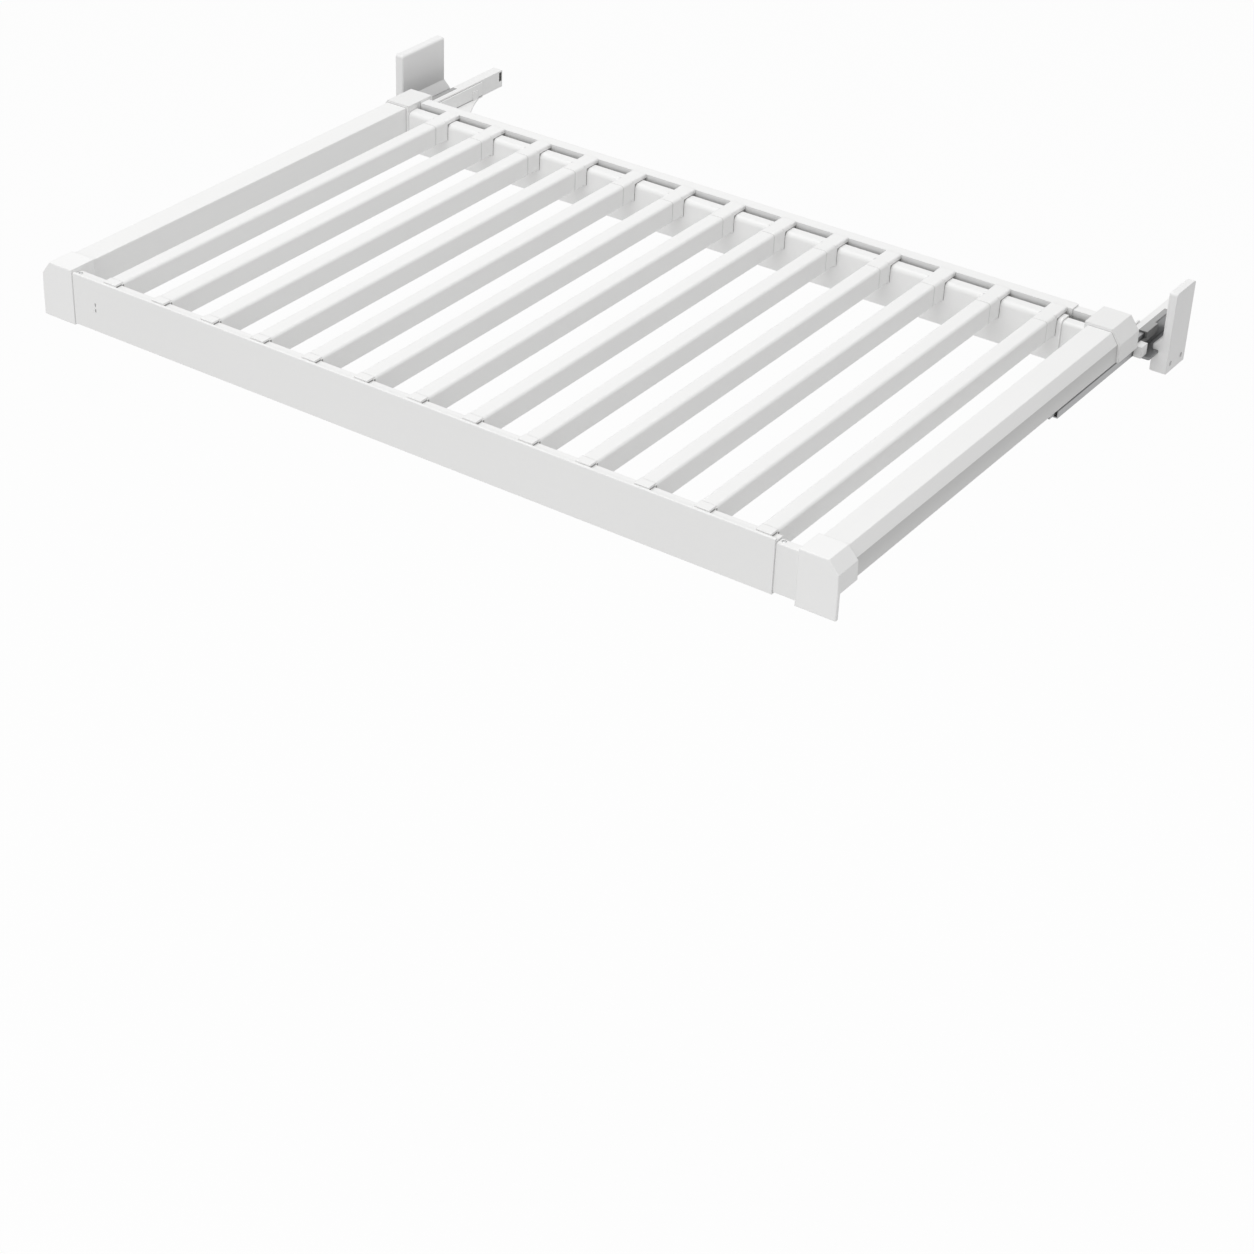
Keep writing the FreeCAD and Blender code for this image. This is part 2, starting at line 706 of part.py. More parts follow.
def ball_cage(side, ball, u_web, u_ball, level, share):
    """A thin C-shaped cage with a row of balls at level above and below the slide's middle.

    The cage makes its share of the rack's travel.
    """
    middle = slide_front + moving_length(side) / 2 - share * closed_travel
    half_length = balls_per_row * ball_spacing / 2
    y0, y1 = middle - half_length, middle + half_length
    tip = u_ball + ball
    cage = box(left_x + u_web, left_x + u_web + cage_metal, y0, y1,
               slide_middle_z - level, slide_middle_z + level)
    rows = (slide_middle_z - level, slide_middle_z + level)
    for z in rows:
        cage = cage.fuse(box(left_x + u_web, left_x + tip, y0, y1,
                             z - cage_metal / 2, z + cage_metal / 2))
    balls = []
    for z in rows:
        for count in range(balls_per_row):
            centre = V(left_x + u_ball, y0 + (count + 0.5) * ball_spacing, z)
            room = ball / 2 + ball_play
            cage = cage.cut(box(centre.x - room, centre.x + room, centre.y - room,
                                centre.y + room, z - cage_metal, z + cage_metal))
            balls.append(ball_bearing(ball / 2, centre))
    return [place_side(piece, side) for piece in [solid(cage)] + balls]


def outer_ball_cage(side):
    """Cage between the fixed and the middle member."""
    u_web = slide_outer + slide_metal + (cage_room - cage_metal) / 2
    u_ball = (middle_web + slide_outer + fixed_lip) / 2
    level = slide_height / 2 - slide_metal - ball_play - outer_ball / 2
    return ball_cage(side, outer_ball, u_web, u_ball, level, 0.25)


def inner_ball_cage(side):
    """Cage between the middle and the drawer member."""
    u_web = middle_web + middle_metal + (cage_room - cage_metal) / 2
    u_ball = (drawer_tip + middle_web + middle_lip) / 2
    level = middle_height / 2 - middle_metal - ball_play - inner_ball / 2
    return ball_cage(side, inner_ball, u_web, u_ball, level, 0.75)


# ---------------------------------------------------------------- damper housings
def damper_housing(side):
    """Damper housing: a front block, a rib and a lid along the slide, and a closed rear end."""
    outer = left_x + slide_outer - housing_gap
    inner = left_x + slide_inner
    rib_outer = outer - housing_rib_width
    rear = slide_rear(side) + housing_cap
    stop = slide_front + moving_length(side) + stop_gap
    block_front = rack_depth + housing_start
    lid_front = rack_depth + closed_travel + stop_gap
    lap_rear = lid_front + housing_lap
    lid_under = slide_top + seat_gap
    lid_top = lid_under + housing_lid
    block = box(outer - housing_block_width, outer, block_front, block_front + housing_block_length,
                skirt_floor - housing_block_height, skirt_floor)
    rib = box(rib_outer, outer, block_front, lap_rear, skirt_floor - housing_rib_height, skirt_floor)
    riser = box(rib_outer, outer, lid_front, lap_rear, skirt_floor - housing_rib_height, lid_top)
    shoulder = box(rib_outer, inner, lid_front, lap_rear, lid_under, lid_top)
    lid = box(left_x + slide_outer, inner, lid_front, rear, lid_under, lid_top)
    tongue = box(left_x + slide_outer + slide_metal + seat_gap, inner, stop, rear,
                 slide_bottom + slide_metal + seat_gap, slide_top - slide_metal - seat_gap)
    side_cover = box(left_x + slide_outer + fixed_lip + seat_gap, inner, stop, rear,
                     slide_bottom, lid_top)
    cap = box(left_x + slide_outer, inner, slide_rear(side) + seat_gap, rear, slide_bottom, lid_top)
    body = fuse(block, rib, riser, shoulder, lid, side_cover, tongue, cap)
    pocket_rear = rear - housing_pocket_rim
    pocket = box(inner - housing_pocket_depth, inner + over, pocket_rear - housing_pocket_length,
                 pocket_rear, lid_under - housing_pocket_height, lid_under)
    return place_side(solid(body.cut(pocket)), side)


# ---------------------------------------------------------------- gussets
def rear_gusset(side):
    """Pressed gusset: a plate under the back rail, a riser, a web and a flange at the slide."""
    left = side == "left"
    edge = left_x + slide_inner + seat_gap
    reach = left_x + gusset_reach(side)
    front = rack_depth + seat_gap
    rear = rack_depth + (left_gusset_length if left else right_gusset_length)
    low = gusset_level - gusset_metal
    flange = box(edge, edge + gusset_metal, front, rear, slide_bottom, slide_top)
    lug_rear = rear - (left_lug_inset if left else 0)
    lug = box(edge, edge + gusset_metal + (left_lug_proud if left else 0),
              lug_rear - gusset_lug_length, lug_rear, slide_bottom,
              slide_top + (left_lug_rise if left else right_lug_rise))
    plate = box(edge, reach, back_strip_front + seat_gap, front + gusset_metal, low, gusset_level)
    riser = box(edge, reach, front, front + gusset_metal, low, slide_bottom + gusset_metal)
    root = V(edge, front, slide_bottom)
    start = V(reach, front, slide_bottom)
    shoulder = V(reach, front + gusset_shoulder, slide_bottom)
    tip = V(edge + gusset_tip_width, lug_rear, slide_bottom)
    tip_edge = V(edge, lug_rear, slide_bottom)
    straight = (shoulder + tip) * 0.5
    bow = straight + (root - straight) * gusset_hollow
    edges = [Part.LineSegment(root, start).toShape(), Part.LineSegment(start, shoulder).toShape(),
             Part.Arc(shoulder, bow, tip).toShape(), Part.LineSegment(tip, tip_edge).toShape(),
             Part.LineSegment(tip_edge, root).toShape()]
    web = Part.Face(Part.Wire(edges)).extrude(V(0, 0, gusset_metal))
    body = fuse(flange, lug, plate, riser, web)
    for point in gusset_screw_points(side):
        body = body.cut(screw_hole(point, up, gusset_screw_length))
    return place_side(solid(body), side)


# ---------------------------------------------------------------- wall brackets
def bracket_length(side):
    """The left bracket plate is longer than the right one."""
    return left_bracket_length if side == "left" else right_bracket_length


def bracket_face(side):
    """Inner face of the bracket plate, measured from the rack's outer face."""
    return -(left_side_gap if side == "left" else right_side_gap)


strip_screw_length = foot_below_strip + strip_metal - seat_gap
strip_rivet_length = strip_metal + slide_metal - seat_gap


def strip_screw_point(side):
    """Head of the screw that clamps the strip in the bracket's foot, from below."""
    u = bracket_face(side) + bracket_foot - strip_bite / 2
    return V(left_x + u, bracket_front + bracket_length(side) / 2, bracket_bottom)


def strip_length(side):
    """The left strip is longer than the right one, as its bracket is."""
    return left_strip_length if side == "left" else right_strip_length


def strip_rivet_points(side):
    """Heads of the two rivets that hold the strip under the fixed slide member."""
    u = slide_outer + fixed_lip / 2
    start = bracket_front - strip_lead
    return [V(left_x + u, start + strip_length(side) * share, strip_bottom) for share in (0.15, 0.85)]


def side_bracket(side):
    """Moulded wall bracket: a plate, and a foot whose slot takes the steel strip."""
    y0 = bracket_front
    y1 = bracket_front + bracket_length(side)
    face = left_x + bracket_face(side)
    wall = face - bracket_plate
    toe = face + bracket_foot
    slope_top = foot_top + bracket_foot
    body = along_y([(wall, bracket_bottom), (toe, bracket_bottom), (toe, foot_top),
                    (face, slope_top), (face, bracket_top), (wall, bracket_top)], y0, y1)

    def shows(a, b):
        against_wall = near(a.x, wall) and near(b.x, wall)
        underneath = near(a.z, bracket_bottom) and near(b.z, bracket_bottom)
        beside_the_slope = near(a.y, b.y - (y1 - y0)) or near(a.y, b.y + (y1 - y0))
        along_the_slope = beside_the_slope and a.z < bracket_top - over
        return not (against_wall or underneath or along_the_slope)

    body = body.makeFillet(bracket_radius, edges_where(body, shows))
    body = body.cut(box(toe - strip_bite - seat_gap, toe + over, y0 - over, y1 + over,
                        strip_bottom - seat_gap, slide_bottom + seat_gap))
    for y in (y0 + bracket_hole_inset, y1 - bracket_hole_inset):
        body = body.cut(Part.makeCylinder(wall_hole_radius, toe - wall + 2 * over,
                                          V(wall - over, y, wall_hole_z), inward))
        body = body.cut(Part.makeCylinder(wall_head_radius, wall_head_depth + over,
                                          V(toe - wall_head_depth, y, wall_hole_z), inward))
    body = body.cut(screw_hole(strip_screw_point(side), up, strip_screw_length))
    return place_side(solid(body), side)


def foot_strip(side):
    """Flat steel strip that carries the fixed slide member out from the bracket."""
    u0 = bracket_face(side) + bracket_foot - strip_bite
    y0 = bracket_front - strip_lead
    body = box(left_x + u0, left_x + slide_outer + fixed_lip, y0, y0 + strip_length(side),
               strip_bottom, slide_bottom)
    body = rounded_along(body, up, strip_radius)
    body = body.cut(screw_hole(strip_screw_point(side), up, strip_screw_length))
    for point in strip_rivet_points(side):
        body = body.cut(screw_hole(point, up, strip_rivet_length, rivet_radius))
    return place_side(solid(body), side)


# ---------------------------------------------------------------- screw groups
def frame_screws(side):
    """Screws of one half of the frame."""
    screws = [screw(point, inward, slide_screw_length, slide_screw_radius, slide_head_radius,
                    slide_head_height) for point in slide_screw_points()]
    screws += [screw(point, up, gusset_screw_length) for point in gusset_screw_points(side)]
    screws = [place_side(piece, side) for piece in screws]
    if side == "right":
        return screws + [ledge_screw(right_ledge_screw)]
    locks = [screw(point, up, lock_screw_length) for point in (front_lock_screw, back_lock_screw)]
    return screws + locks + [ledge_screw(left_ledge_screw)]


def bracket_screws(side):
    """The screw that clamps the strip, and the rivets that hold it under the slide."""
    pieces = [screw(strip_screw_point(side), up, strip_screw_length)]
    for point in strip_rivet_points(side):
        pieces.append(screw(point, up, strip_rivet_length, rivet_radius, rivet_head_radius,
                            rivet_head_height))
    return [place_side(piece, side) for piece in pieces]


# ---------------------------------------------------------------- build
def main():
    os.makedirs("parts", exist_ok=True)
    export("front_rail_sleeve", [front_rail_sleeve()])
    export("front_rail_inner", [front_rail_inner()])
    export("back_rail_sleeve", [back_rail_sleeve()])
    export("back_bar_inner", [back_inner(back_bar)])
    export("back_strip_inner", [back_inner(back_strip)])
    for index in range(rod_count):
        export("rod_%02d" % (index + 1), [rod(index)])
        export("rod_holder_%02d" % (index + 1), [rod_holder(index)])
    export("rod_front_clips", [rod_front_clip(index) for index in range(rod_count)])
    for side in ("left", "right"):
        export("side_rail_" + side, [side_rail(side)])
        export("front_corner_" + side, [front_corner(side)])
        export("rear_corner_" + side, [rear_corner(side)])
        export("rear_gusset_" + side, [rear_gusset(side)])
        export("slide_cabinet_" + side, [slide_cabinet(side)])
        export("slide_middle_" + side, [slide_middle(side)])
        export("slide_drawer_" + side, [slide_drawer(side)])
        export("outer_ball_cage_" + side, outer_ball_cage(side))
        export("inner_ball_cage_" + side, inner_ball_cage(side))
        export("damper_housing_" + side, [damper_housing(side)])
        export("side_bracket_" + side, [side_bracket(side)])
        export("foot_strip_" + side, [foot_strip(side)])
        export("frame_screws_" + side, frame_screws(side))
        export("bracket_screws_" + side, bracket_screws(side))


main()
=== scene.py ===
# %% [markdown]
# # A pull-out trouser rack, dressed
#
# The rack is almost entirely white: aluminium rails and rods with a powder coat, and
# moulded plastic corners, clips, rod holders and wall brackets. Grey zinc-plated steel
# shows only at the slides and under them. White on white is carried by light: each plane
# has to keep its own tone, so the lamps stay low and soft, and the finishes add painted
# shade in gaps, slots and creases and on some upright sides.
#
# This file loads the imported model as a fixed frame. It then adds a camera, a floor and
# light, one finish per material, and finer screws in place of the plain ones.

import json

import bpy
import numpy as np
from mathutils import Matrix, Vector


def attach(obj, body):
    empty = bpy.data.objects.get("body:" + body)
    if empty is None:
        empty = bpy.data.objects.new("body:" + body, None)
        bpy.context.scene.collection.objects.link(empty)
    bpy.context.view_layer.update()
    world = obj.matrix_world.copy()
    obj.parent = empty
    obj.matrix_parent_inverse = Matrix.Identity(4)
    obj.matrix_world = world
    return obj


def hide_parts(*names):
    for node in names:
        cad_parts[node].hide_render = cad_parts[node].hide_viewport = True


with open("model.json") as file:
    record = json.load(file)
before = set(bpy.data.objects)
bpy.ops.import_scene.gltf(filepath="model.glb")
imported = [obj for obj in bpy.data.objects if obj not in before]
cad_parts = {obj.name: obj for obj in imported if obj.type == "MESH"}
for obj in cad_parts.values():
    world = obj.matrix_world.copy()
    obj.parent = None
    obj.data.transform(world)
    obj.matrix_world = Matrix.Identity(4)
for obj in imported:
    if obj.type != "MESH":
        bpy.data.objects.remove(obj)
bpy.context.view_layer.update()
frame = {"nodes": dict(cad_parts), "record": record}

# %% [markdown]
# ## Camera
#
# The rack is seen from its front right, from above, with a long lens. A camera can be
# aimed with a Track To constraint, but that always keeps it level. Here its three axes are
# written as rows, so the view is tilted by exactly the two and a half degrees it needs.

# %% Camera
camera_right = Vector((0.822457, 0.567702, 0.035751))
camera_up = Vector((-0.335879, 0.433958, 0.835982))
camera_back = Vector((0.459074, -0.699568, 0.547591))
camera_place = Vector((1.57234, -1.98625, 1.06049))

camera_data = bpy.data.cameras.new("camera")
camera_data.lens = 79.4917
camera_data.sensor_width = 36.0
camera_data.clip_start = 0.05
camera_data.clip_end = 100.0
camera = bpy.data.objects.new("camera", camera_data)
bpy.context.scene.collection.objects.link(camera)
turn = Matrix((camera_right, camera_up, camera_back)).transposed()
camera.matrix_world = Matrix.Translation(camera_place) @ turn.to_4x4()
bpy.context.scene.camera = camera
print("camera", tuple(round(v, 3) for v in camera_place), "lens", round(camera_data.lens, 2), "mm")

# %% [markdown]
# ## Writing shaders as sums
#
# A node tree for a finish is mostly arithmetic: this noise times that, plus a constant.
# Wired by hand, it takes a line for each node and each link. The small class below holds
# one output of a node and overloads + - * /, so that a mask reads as an expression, and
# Python itself adds the Math nodes.


# %% Values that can be summed
class Value:
    """One output of a node. A sum, difference, product or quotient of it is a Math node."""

    def __init__(self, shading, output):
        self.shading = shading
        self.output = output

    def math(self, operation, *numbers):
        """A Math node on Values or plain numbers, in the node's own order."""
        return self.shading.node("ShaderNodeMath", {"operation": operation},
                                 dict(enumerate(numbers)))

    def __add__(self, other):
        return self.math("ADD", self, other)

    def __sub__(self, other):
        return self.math("SUBTRACT", self, other)

    def __rsub__(self, other):
        return self.math("SUBTRACT", other, self)

    def __mul__(self, other):
        return self.math("MULTIPLY", self, other)

    def __truediv__(self, other):
        return self.math("DIVIDE", self, other)

    def __rtruediv__(self, other):
        return self.math("DIVIDE", other, self)

    __radd__ = __add__
    __rmul__ = __mul__

    def size(self):
        """The value without its sign."""
        return self.math("ABSOLUTE", self)

    def nearest_whole(self):
        """The whole number that is nearest to the value."""
        return self.math("ROUND", self)

    def above(self, limit):
        """1 where the value is above the limit, and 0 elsewhere."""
        return self.math("GREATER_THAN", self, limit)

    def below(self, limit):
        """1 where the value is below the limit, and 0 elsewhere."""
        return self.math("LESS_THAN", self, limit)

    def or_larger(self, other):
        """The larger of two values."""
        return self.math("MAXIMUM", self, other)

    def from_0_to_1(self):
        """The value, held between 0 and 1."""
        return self.shading.node("ShaderNodeClamp", None, {"Value": self})


print("values ready")

# %% [markdown]
# ### One method for every other node
#
# Noise, Mix, Mapping and all other nodes differ only in their type, their settings and
# what goes into their sockets, so one method makes them all. The settings come first,
# because they decide which sockets a node has. The same class serves the finishes, the
# floor and the light of the world, which is a node tree too.


# %% Node trees and finishes
class Shading:
    """A node tree that holds nothing but its output node at first."""

    def __init__(self, tree, output_kind):
        self.tree = tree
        self.tree.nodes.clear()
        self.end = self.tree.nodes.new(output_kind)

    def node(self, kind, settings=None, inputs=None, output=0):
        """Adds a node with its settings and inputs, and gives one of its outputs."""
        node = self.tree.nodes.new(kind)
        for name, setting in (settings or {}).items():
            setattr(node, name, setting)
        for key, value in (inputs or {}).items():
            self.feed(node.inputs[key], value)
        return Value(self, node.outputs[output])

    def feed(self, socket, value):
        """Links a Value to a socket, or writes a constant on it."""
        if isinstance(value, Value):
            self.tree.links.new(value.output, socket)
        else:
            socket.default_value = value

    def show(self, value):
        """Makes a shader what the tree shows."""
        self.feed(self.end.inputs["Surface"], value)


class Finish(Shading):
    """A material with one Principled shader, whose nodes are added as they are needed."""

    def __init__(self, name, **constants):
        self.material = bpy.data.materials.new(name)
        self.material.use_nodes = True
        super().__init__(self.material.node_tree, "ShaderNodeOutputMaterial")
        self.shader = self.tree.nodes.new("ShaderNodeBsdfPrincipled")
        self.show(Value(self, self.shader.outputs[0]))
        for socket, value in constants.items():
            self.drive(socket.replace("_", " "), value)

    def drive(self, socket, value):
        """Feeds one of the Principled shader's own sockets."""
        self.feed(self.shader.inputs[socket], value)


print("node trees ready")

# %% [markdown]
# ## Coordinates and patterns
#
# Every pattern reads Object coordinates. All the pieces sit at the origin with their
# place in their mesh, so these are metres in the rack's own frame, and the grain keeps
# one scale from piece to piece. A Mapping node multiplies the coordinate along a rail by
# a small number. That stretches the pattern into lines like those of a die or a roll.


# %% Coordinates and noise
X, Y, Z = range(3)


def place(finish, along=None, squeeze=1.0):
    """Object coordinates in metres, multiplied by squeeze along one axis."""
    stretch = [1.0, 1.0, 1.0]
    if along is not None:
        stretch[along] = squeeze
    coordinates = finish.node("ShaderNodeTexCoord", output="Object")
    return finish.node("ShaderNodeMapping", {"vector_type": "POINT"},
                       {"Vector": coordinates, "Scale": stretch})


def axis_of(finish, axis):
    """Object X, Y or Z in metres."""
    coordinates = finish.node("ShaderNodeTexCoord", output="Object")
    return finish.node("ShaderNodeSeparateXYZ", None, {"Vector": coordinates}, axis)


def noise(finish, where, scale, detail=2.0, roughness=0.5):
    """Noise from 0 to 1 with scale cells to the metre."""
    return finish.node("ShaderNodeTexNoise", {"noise_dimensions": "3D"},
                       {"Vector": where, "Scale": scale, "Detail": detail,
                        "Roughness": roughness}, "Fac")


print("coordinates ready")

# %% [markdown]
# ### Colours
#
# A Math node would turn a colour grey, so colours go through a Mix node instead. One call
# spreads a finish between its darkest and its lightest tone, and the other one takes it
# towards a dark grey where a mask says so: for dark joint lines, and for painted shade.


# %% Colours
# A dark grey for joint lines and for painted shade.
joint_and_shade_dark = (0.1, 0.098, 0.094)


def white(level, warmth=0.003):
    """An almost white colour, with a little less blue than red and green."""
    return level, level, level - warmth


def blend(finish, amount, first, second):
    """A Mix node: the first colour at amount 0, the second one at 1."""
    settings = {"data_type": "RGBA", "blend_type": "MIX", "clamp_factor": True}
    return finish.node("ShaderNodeMix", settings, {0: amount, 6: first, 7: second}, 2)


def between(finish, mask, low, high):
    """A colour that goes from low to high as the mask goes from 0 to 1."""
    return blend(finish, mask, (*low, 1.0), (*high, 1.0))


def shaded(finish, mask, colour, depth, towards=joint_and_shade_dark):
    """A colour that goes towards another one by depth, where the mask is 1."""
    return blend(finish, mask * depth, colour, (*towards, 1.0))


print("colours ready")

# %% [markdown]
# ### Masks
#
# A mask is 1 where something happens on the surface, and 0 elsewhere. Painting one by
# hand needs an unwrapped mesh and an image. These parts are straight and square to the
# axes, so a comparison of one coordinate with a plane does the same, to a tenth of a
# millimetre.


# %% Masks
def line_at(finish, axis, plane, half_width):
    """1 on a plane across an axis, falling to 0 at half_width metres from it."""
    away = (axis_of(finish, axis) - plane).size()
    return (1 - away / half_width).from_0_to_1()


def fade(finish, axis, start, end):
    """0 up to start and 1 from end on, along an axis; end may be the lower one."""
    return ((axis_of(finish, axis) - start) / (end - start)).from_0_to_1()


def inside(finish, low, high):
    """1 between two corners of a box: the product of six comparisons."""
    sides = [axis_of(finish, axis).above(low[axis]) * axis_of(finish, axis).below(high[axis])
             for axis in (X, Y, Z)]
    return sides[X] * sides[Y] * sides[Z]


print("masks ready")

# %% [markdown]
# ### Relief and soft edges
#
# No real edge is sharp: an extruded or moulded one is rounded by half a millimetre or
# more, and that round is what catches the light. A Bevel modifier would add thousands of
# faces to sixty parts. The Bevel node only turns the normals near an edge as a round
# would, and the Bump node lays the grain of the finish over them.


# %% Relief
def relief(finish, height, distance, edge_radius=0.0):
    """A bump whose height of 1 stands distance metres proud, over edges as round as given."""
    inputs = {"Strength": 1.0, "Distance": distance, "Height": height}
    if edge_radius:
        inputs["Normal"] = finish.node("ShaderNodeBevel", {"samples": 4},
                                       {"Radius": edge_radius})
    return finish.node("ShaderNodeBump", None, inputs, "Normal")


print("relief ready")

# %% [markdown]
# ## Where parts meet
#
# Parts that are pushed together leave a hairline gap, and in a white rack these hairlines
# do most of the drawing. Light that falls in such a gap hardly comes out. A gap of a quarter
# of a millimetre is less than the mesh needs to show, so the finishes darken there instead:
# dark joint lines at the seams, and painted shade in gaps, slots, creases and pockets. The
# places are read from the frame, so they follow the parts if these ever move.


# %% Reach of a part
hairline = 0.0005


def reach(node, axis):
    """The lowest and the highest place of a CAD part along an axis, in metres."""
    places = [corner[axis] for corner in frame["nodes"][node].bound_box]
    return min(places), max(places)


print("rods reach from y", [round(v, 4) for v in reach("rod_01", Y)])

# %% [markdown]
# ### Rods, clips and holders
#
# The thirteen rods stand at one pitch, so their masks need no list of thirteen places.
# The distance to the nearest rod is the distance to the nearest whole number of pitches,
# and whatever is done to one rod repeats at all of them.


# %% Places along the rods
first_rod, second_rod = (sum(reach(node, X)) / 2 for node in ("rod_01", "rod_02"))
rod_pitch = second_rod - first_rod
rod_half = (reach("rod_01", X)[1] - reach("rod_01", X)[0]) / 2
rod_rear, rod_bottom = reach("rod_01", Y)[1], reach("rod_01", Z)[0]
print("first rod at x", round(first_rod, 4), "and one every", round(rod_pitch, 4), "m")


def from_rod(finish):
    """Metres from the middle of the nearest rod: |steps - nearest whole step| x pitch."""
    steps = (axis_of(finish, X) - first_rod) / rod_pitch
    return (steps - steps.nearest_whole()).size() * rod_pitch


def rod_joints(finish):
    """A faint hairline at the rods' rear ends, where the holders are pushed in."""
    return line_at(finish, Y, rod_rear, hairline) * 0.5


# %% [markdown]
# ### Clips on the front rail
#
# Each rod ends in a flange behind the front rail and a pad that lies on the rail's ledge.
# Both stand so close to the rail and the rod that light hardly gets in beside them. So
# the flange's sides are dark all the way up, and the pad's for a millimetre at the foot.


# %% Clips
clip_half, pad_half = first_rod - reach("rod_front_clips", X)[0], 0.0065
front_rail_rear = reach("front_rail_sleeve", Y)[1]
ledge_level = reach("front_rail_sleeve", Z)[1] - 0.0018
skin_depth = 0.0002
print("clips", round(2000 * clip_half, 1), "mm wide, ledge at z", round(ledge_level, 4))


def beside_clips(finish):
    """1 on the sides of the clips' flanges, and at the foot of their pads' sides."""
    away = from_rod(finish)
    foot = away.above(pad_half - skin_depth / 2) * axis_of(finish, Z).below(ledge_level + 0.0012)
    foot = foot * axis_of(finish, Y).below(front_rail_rear + skin_depth / 2)
    return foot.or_larger(away.above(clip_half - skin_depth))


# %% [markdown]
# ### Holders on the back bar
#
# At the rear each rod is pushed on a holder that hooks over the bar. The bar under the
# hook and the inside of the hook are painted dark: painted shade in the narrow gap between them.


# %% Holders
bar_front, bar_rear = reach("back_rail_sleeve", Y)[0], reach("back_bar_inner", Y)[1] + 0.002
bar_top = reach("back_bar_inner", Z)[1] + 0.0015
print("bar from y", round(bar_front, 4), "to", round(bar_rear, 4), "top at z", round(bar_top, 4))


# Painted shade: the bar is painted dark under each holder, so the gap beside it reads dark.
def under_holders(finish):
    """1 on the part of the bar that the rod holders grip."""
    on_the_bar = axis_of(finish, Y).above(bar_front - hairline) * axis_of(finish, Y).below(bar_rear)
    return from_rod(finish).below(rod_half) * on_the_bar * axis_of(finish, Z).above(rod_bottom)


# Painted shade: the inner faces of the hooks are painted dark.
def inside_hooks(finish):
    """1 on the inner faces of the rod holders, which lie against the bar."""
    behind = axis_of(finish, Y).above(bar_front - hairline)
    return behind * axis_of(finish, Z).below(bar_top + hairline)


# %% [markdown]
# ### Seams and slot of the cross rails
#
# The front and back rails end in the corner pieces with a seam at each side. The back
# rail has a slot along it between its bar and its strip. The slot is painted darker the
# deeper one looks, and darkest in the corners at the bottom: painted shade. The strip's
# rear top edge is painted darker too: painted shade.


# %% Cross rails
left_seam, right_seam = reach("front_rail_sleeve", X)[0], reach("front_rail_inner", X)[1]
strip_rear, strip_top = reach("back_rail_sleeve", Y)[1], reach("back_rail_sleeve", Z)[1]
slot_front, slot_rear = (reach("back_bar_inner", Y)[1] + 0.0012,
                         reach("back_strip_inner", Y)[0] + 0.0002)
print("seams at x", round(left_seam, 4), "and", round(right_seam, 4),
      "slot", round(1000 * (slot_rear - slot_front), 1), "mm wide")


def slot_painted_shade(finish):
    """Painted shade in the slot: it grows from 3 to 6.5 mm down, and again in the lowest
    millimetre.
    """
    in_slot = axis_of(finish, Y).above(slot_front) * axis_of(finish, Y).below(slot_rear)
    wall = fade(finish, Z, strip_top - 0.003, strip_top - 0.0065) * 0.35
    corner = fade(finish, Z, strip_top - 0.0066, strip_top - 0.0076) * 0.3
    return in_slot * (wall + corner)


def strip_edge(finish):
    """Painted shade along the rear edge of the strip's top."""
    at_edge = axis_of(finish, Y).above(strip_rear - 0.0007)
    return at_edge * axis_of(finish, Z).above(strip_top - 0.0003) * 0.4


def telescope_joints_and_shade(finish):
    """Hairlines where the telescopic rails meet the corner pieces, and painted shade in the slot.
    """
    seams = line_at(finish, X, left_seam, hairline) + line_at(finish, X, right_seam, hairline)
    return seams + slot_painted_shade(finish)


def cross_rail_joints_and_shade(finish):
    """The same on the outer sleeves, which also carry the rod holders, with painted shade under the
    holders and along the strip's rear edge.
    """
    return telescope_joints_and_shade(finish) + under_holders(finish) + strip_edge(finish)


# %% [markdown]
# ### Skirts of the side rails
#
# A side rail's top runs out over a sloping facet into an upright skirt, which hides the
# slide. The skirt is painted a step greyer than the top from the facet's foot down, and a
# little less so at its own foot: painted shade on the upright side.


# %% Side rails
rail_front, rail_rear = reach("side_rail_left", Y)
outer_wall = 0.0016
skirts = reach("side_rail_left", X)[0] + outer_wall, reach("side_rail_right", X)[1] - outer_wall
facet_foot, skirt_level = strip_top - 0.0093, strip_top - 0.0252
print("skirts from z", round(facet_foot, 4), "down to", round(skirt_level, 4))


def long_rail_joints_and_shade(finish):
    """Hairlines between the side rails and the corner pieces, and painted shade on the skirt."""
    ends = (line_at(finish, Y, rail_front, hairline)
            + line_at(finish, Y, rail_rear, 1.6 * hairline))
    outer = axis_of(finish, X).above(skirts[1]) + axis_of(finish, X).below(skirts[0])
    # Painted shade on the skirt: 0.44 at the facet's foot, down to 0.24 at the skirt's foot.
    skirt_shade = 0.44 - 0.2 * fade(finish, Z, facet_foot, skirt_level)
    return ends + outer * (axis_of(finish, Z).below(facet_foot) * skirt_shade)


# %% [markdown]
# ### Painted shade on the slides
#
# A dark line is painted on the fixed member's outer face, just under the skirt's edge:
# painted shade under the skirt. Behind the rack the sides are painted darker than the tops:
# painted shade too.


# %% Slides
rack_end = reach("rear_corner_left", Y)[1]
slide_bottom, slide_top = reach("slide_cabinet_left", Z)
slide_faces = reach("slide_cabinet_left", X)[0], reach("slide_cabinet_right", X)[1]
print("slides from z", round(slide_bottom, 4), "to", round(slide_top, 4))


def slide_dark_shade(finish):
    """Painted shade: a line from 0.5 mm over the skirt's edge to 5 mm under it, and the sides
    behind.
    """
    outside = (axis_of(finish, X).below(slide_faces[0] + 0.0003)
               + axis_of(finish, X).above(slide_faces[1] - 0.0003))
    under_skirt_shade = fade(finish, Z, skirt_level - 0.005, skirt_level - 0.0037)
    under_skirt_shade = under_skirt_shade * axis_of(finish, Z).below(skirt_level + 0.0005) * outside
    under_rack = axis_of(finish, Y).below(rack_end)
    behind = axis_of(finish, Y).above(rack_end) * axis_of(finish, Z).below(slide_top - 0.0002)
    return under_skirt_shade * under_rack * 1.25 + behind * 0.58
